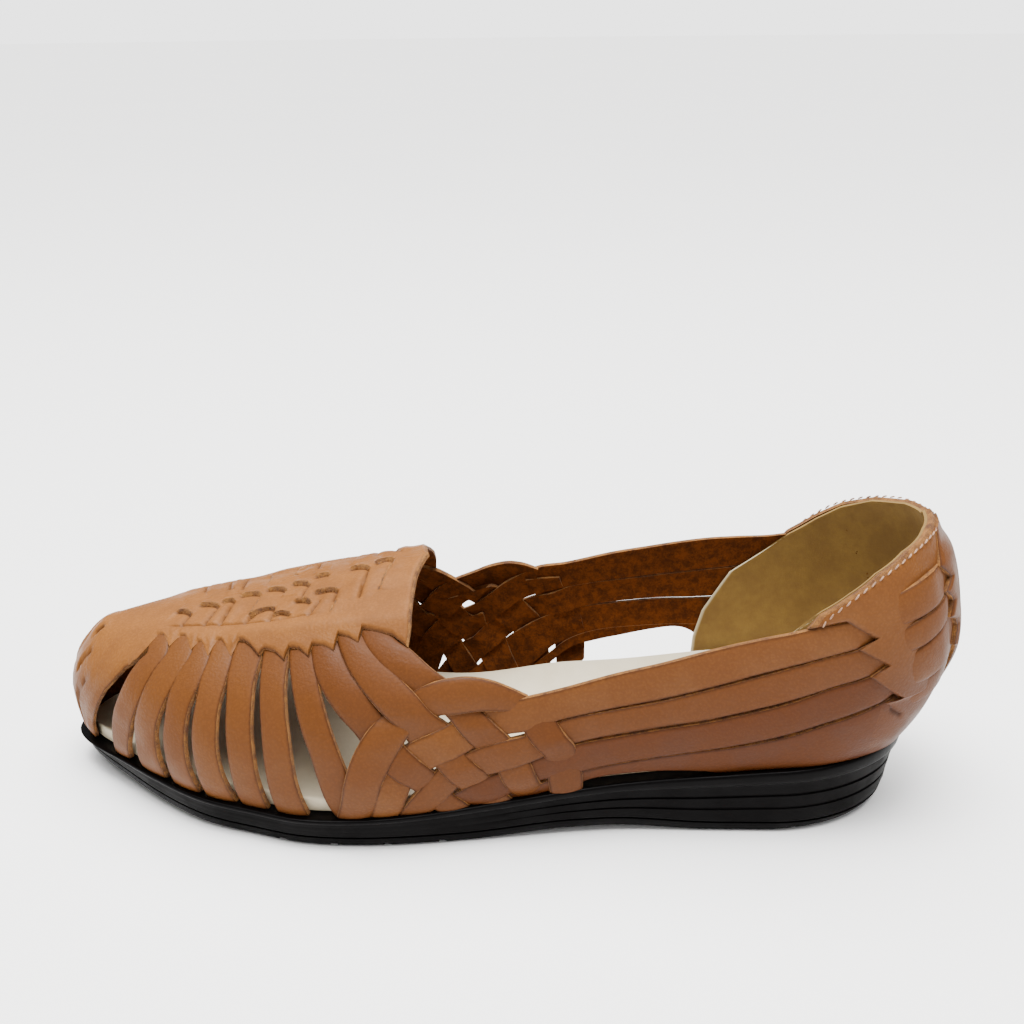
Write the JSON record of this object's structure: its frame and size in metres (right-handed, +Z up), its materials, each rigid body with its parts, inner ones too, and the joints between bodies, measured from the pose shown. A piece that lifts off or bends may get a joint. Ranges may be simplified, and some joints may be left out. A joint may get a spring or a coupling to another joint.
{
  "type": "huarache sandal",
  "caption": "Left flat sandal with a woven leather strap upper, closed heel, cushioned footbed and low wedge sole.",
  "frame": {"origin": "on the floor under the middle of the heel, on the flat of the heel tread", "axes": "+X from heel to toe, +Y to the outer (little toe) side, +Z up"},
  "size_m": [0.2613, 0.0908, 0.0855],
  "materials": {
    "leather": "smooth vegetable tanned leather, soft sheen, raw cut edges",
    "footbed": "matt cream lining leather",
    "midsole": "moulded rubber, satin with a glossier lip",
    "outsole": "moulded rubber, matt"
  },
  "bodies": {
    "root": {"upper": "leather", "insole": "footbed", "midsole": "midsole", "outsole": "outsole"}
  },
  "joints": []
}
